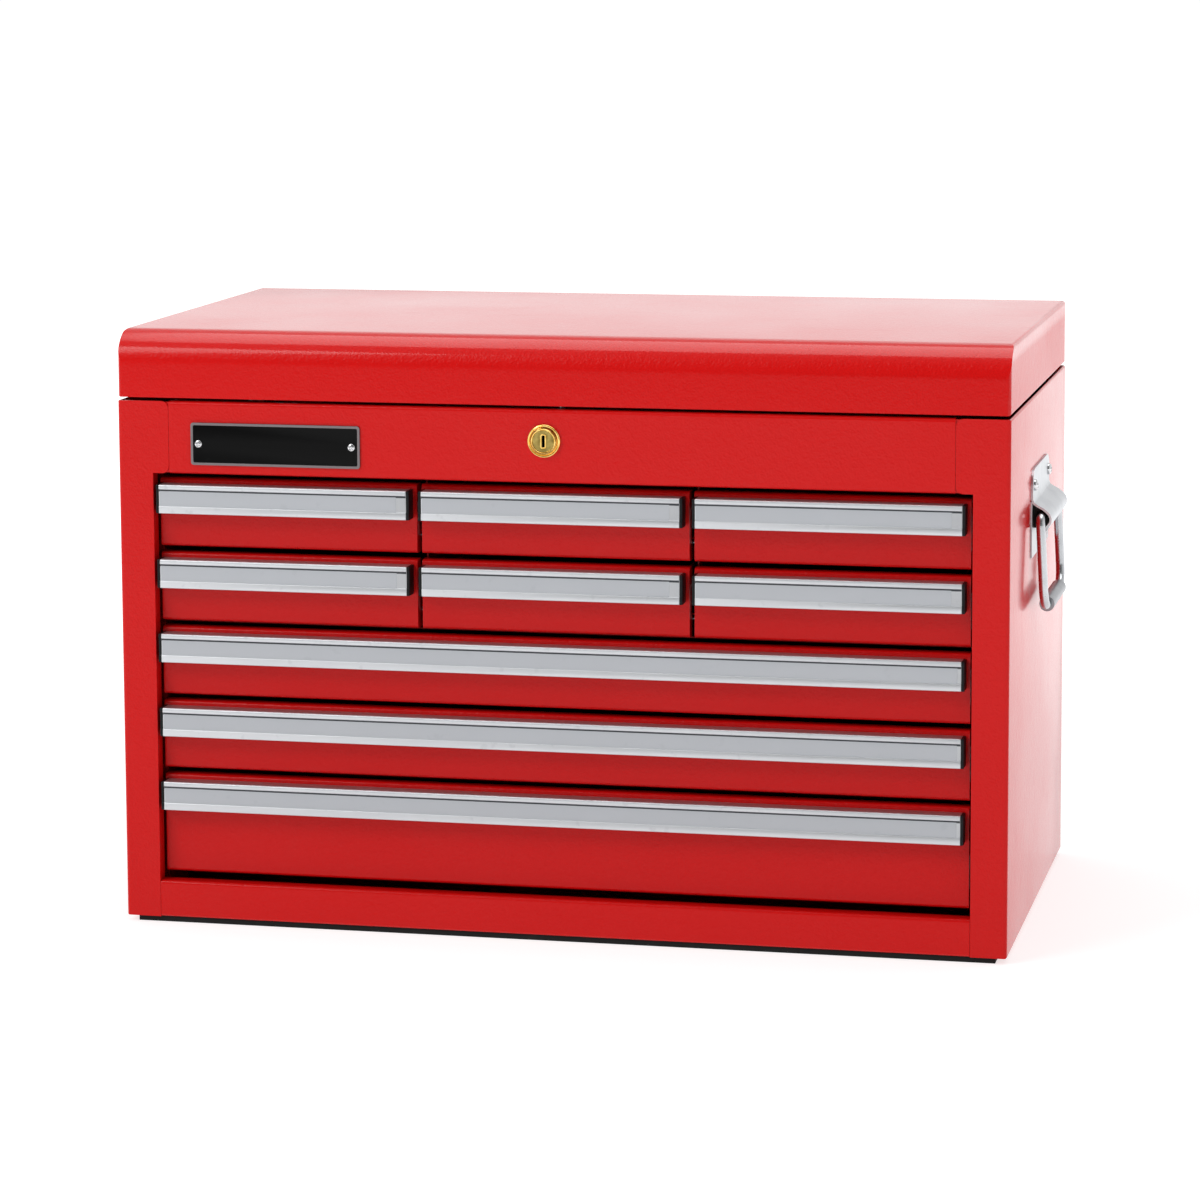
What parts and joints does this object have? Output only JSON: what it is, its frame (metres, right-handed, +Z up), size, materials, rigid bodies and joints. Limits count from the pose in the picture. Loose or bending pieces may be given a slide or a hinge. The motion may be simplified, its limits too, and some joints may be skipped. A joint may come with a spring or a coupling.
{
  "type": "tool chest",
  "caption": "Red sheet-metal top tool chest with small and wide drawers, extruded aluminium pulls, hinged lid over a till, cylinder lock and folding side handles.",
  "frame": {"origin": "on the floor under the middle of the chest, at the bottom centre of its bounding box", "axes": "+X to the right seen from the front, +Y towards the hinge at the back, +Z up"},
  "size_m": [0.647, 0.3416, 0.4142],
  "materials": {
    "body_paint": "gloss",
    "lid_paint": "gloss",
    "drawer_paint": "gloss",
    "frame_paint": "satin",
    "till_liner": "satin",
    "zinc_slide": "satin",
    "rubber": "matte",
    "plate_black": "gloss",
    "screw_steel": "polished",
    "lock_brass": "polished",
    "plug_brass": "satin",
    "zinc_part": "satin",
    "hinge_steel": "satin",
    "pin_steel": "satin",
    "strut_black": "satin",
    "strut_chrome": "polished",
    "handle_zinc": "satin",
    "bail_steel": "polished",
    "grip_steel": "satin",
    "pull_aluminium": "satin",
    "cap_black": "satin"
  },
  "bodies": {
    "cabinet": {"side_left": "body_paint", "side_right": "body_paint", "back_panel": "body_paint", "base_pan": "body_paint", "top_rail": "body_paint", "divider_shelf": "frame_paint", "slide_supports": "frame_paint", "till_floor": "till_liner", "cabinet_slides": "zinc_slide", "rubber_feet": "rubber", "nameplate": "plate_black", "nameplate_screws": "screw_steel", "lock_housing": "lock_brass", "hinge_cabinet_leaf": "hinge_steel", "hinge_pin": "pin_steel", "strut_studs_cabinet": "zinc_part", "handle_plate_left": "handle_zinc", "handle_plate_right": "handle_zinc", "handle_rivets": "screw_steel"},
    "lid": {"lid": "lid_paint", "lid_strike": "zinc_part", "hinge_lid_leaf": "hinge_steel", "strut_studs_lid": "zinc_part"},
    "lock": {"lock_cylinder": "plug_brass", "lock_cam": "zinc_part"},
    "strut_tube_right": {"strut_tube_right": "strut_black"},
    "strut_rod_right": {"strut_rod_right": "strut_chrome"},
    "bail_right": {"bail_right": "bail_steel", "grip_right": "grip_steel"},
    "strut_tube_left": {"strut_tube_left": "strut_black"},
    "strut_rod_left": {"strut_rod_left": "strut_chrome"},
    "bail_left": {"bail_left": "bail_steel", "grip_left": "grip_steel"},
    "drawer_1": {"drawer_1": "drawer_paint", "pull_1": "pull_aluminium", "pull_caps_1": "cap_black"},
    "drawer_2": {"drawer_2": "drawer_paint", "pull_2": "pull_aluminium", "pull_caps_2": "cap_black"},
    "drawer_3": {"drawer_3": "drawer_paint", "pull_3": "pull_aluminium", "pull_caps_3": "cap_black"},
    "drawer_4": {"drawer_4": "drawer_paint", "pull_4": "pull_aluminium", "pull_caps_4": "cap_black"},
    "drawer_5": {"drawer_5": "drawer_paint", "pull_5": "pull_aluminium", "pull_caps_5": "cap_black"},
    "drawer_6": {"drawer_6": "drawer_paint", "pull_6": "pull_aluminium", "pull_caps_6": "cap_black"},
    "drawer_7": {"drawer_7": "drawer_paint", "pull_7": "pull_aluminium", "pull_caps_7": "cap_black"},
    "drawer_8": {"drawer_8": "drawer_paint", "pull_8": "pull_aluminium", "pull_caps_8": "cap_black"},
    "drawer_9": {"drawer_9": "drawer_paint", "pull_9": "pull_aluminium", "pull_caps_9": "cap_black"}
  },
  "joints": [
    {"name": "lid_hinge", "type": "hinge", "parent": "cabinet", "child": "lid", "pos_m": [0, 0.1686, 0.36715], "axis": [-1, 0, 0], "range_deg": [0, 80]},
    {"name": "lock_turn", "type": "hinge", "parent": "cabinet", "child": "lock", "pos_m": [-0.0065, -0.16, 0.3448], "axis": [0, 1, 0], "range_deg": [0, 90]},
    {"name": "strut_tube_swing_right", "type": "hinge", "parent": "cabinet", "child": "strut_tube_right", "pos_m": [0.292, 0.13088, 0.32712], "axis": [-1, 0, 0], "range_deg": [0, 40]},
    {"name": "strut_rod_swing_right", "type": "hinge", "parent": "lid", "child": "strut_rod_right", "pos_m": [0.292, 0.12253, 0.39719], "axis": [-1, 0, 0], "range_deg": [-40, 0]},
    {"name": "bail_swing_right", "type": "hinge", "parent": "cabinet", "child": "bail_right", "pos_m": [0.315, 0, 0.285], "axis": [0, -1, 0], "range_deg": [0, 95]},
    {"name": "strut_tube_swing_left", "type": "hinge", "parent": "cabinet", "child": "strut_tube_left", "pos_m": [-0.292, 0.13088, 0.32712], "axis": [-1, 0, 0], "range_deg": [0, 40]},
    {"name": "strut_rod_swing_left", "type": "hinge", "parent": "lid", "child": "strut_rod_left", "pos_m": [-0.292, 0.12253, 0.39719], "axis": [-1, 0, 0], "range_deg": [-40, 0]},
    {"name": "bail_swing_left", "type": "hinge", "parent": "cabinet", "child": "bail_left", "pos_m": [-0.315, 0, 0.285], "axis": [0, 1, 0], "range_deg": [0, 95]},
    {"name": "drawer_slide_1", "type": "slide", "parent": "cabinet", "child": "drawer_1", "axis": [0, -1, 0], "range_m": [0, 0.22]},
    {"name": "drawer_slide_2", "type": "slide", "parent": "cabinet", "child": "drawer_2", "axis": [0, -1, 0], "range_m": [0, 0.22]},
    {"name": "drawer_slide_3", "type": "slide", "parent": "cabinet", "child": "drawer_3", "axis": [0, -1, 0], "range_m": [0, 0.22]},
    {"name": "drawer_slide_4", "type": "slide", "parent": "cabinet", "child": "drawer_4", "axis": [0, -1, 0], "range_m": [0, 0.22]},
    {"name": "drawer_slide_5", "type": "slide", "parent": "cabinet", "child": "drawer_5", "axis": [0, -1, 0], "range_m": [0, 0.22]},
    {"name": "drawer_slide_6", "type": "slide", "parent": "cabinet", "child": "drawer_6", "axis": [0, -1, 0], "range_m": [0, 0.22]},
    {"name": "drawer_slide_7", "type": "slide", "parent": "cabinet", "child": "drawer_7", "axis": [0, -1, 0], "range_m": [0, 0.22]},
    {"name": "drawer_slide_8", "type": "slide", "parent": "cabinet", "child": "drawer_8", "axis": [0, -1, 0], "range_m": [0, 0.22]},
    {"name": "drawer_slide_9", "type": "slide", "parent": "cabinet", "child": "drawer_9", "axis": [0, -1, 0], "range_m": [0, 0.22]}
  ],
  "couplings": [
    {"joint": "strut_tube_swing_right", "follows": "lid_hinge", "ratio": 0.5},
    {"joint": "strut_rod_swing_right", "follows": "lid_hinge", "ratio": -0.5},
    {"joint": "strut_tube_swing_left", "follows": "lid_hinge", "ratio": 0.5},
    {"joint": "strut_rod_swing_left", "follows": "lid_hinge", "ratio": -0.5}
  ]
}
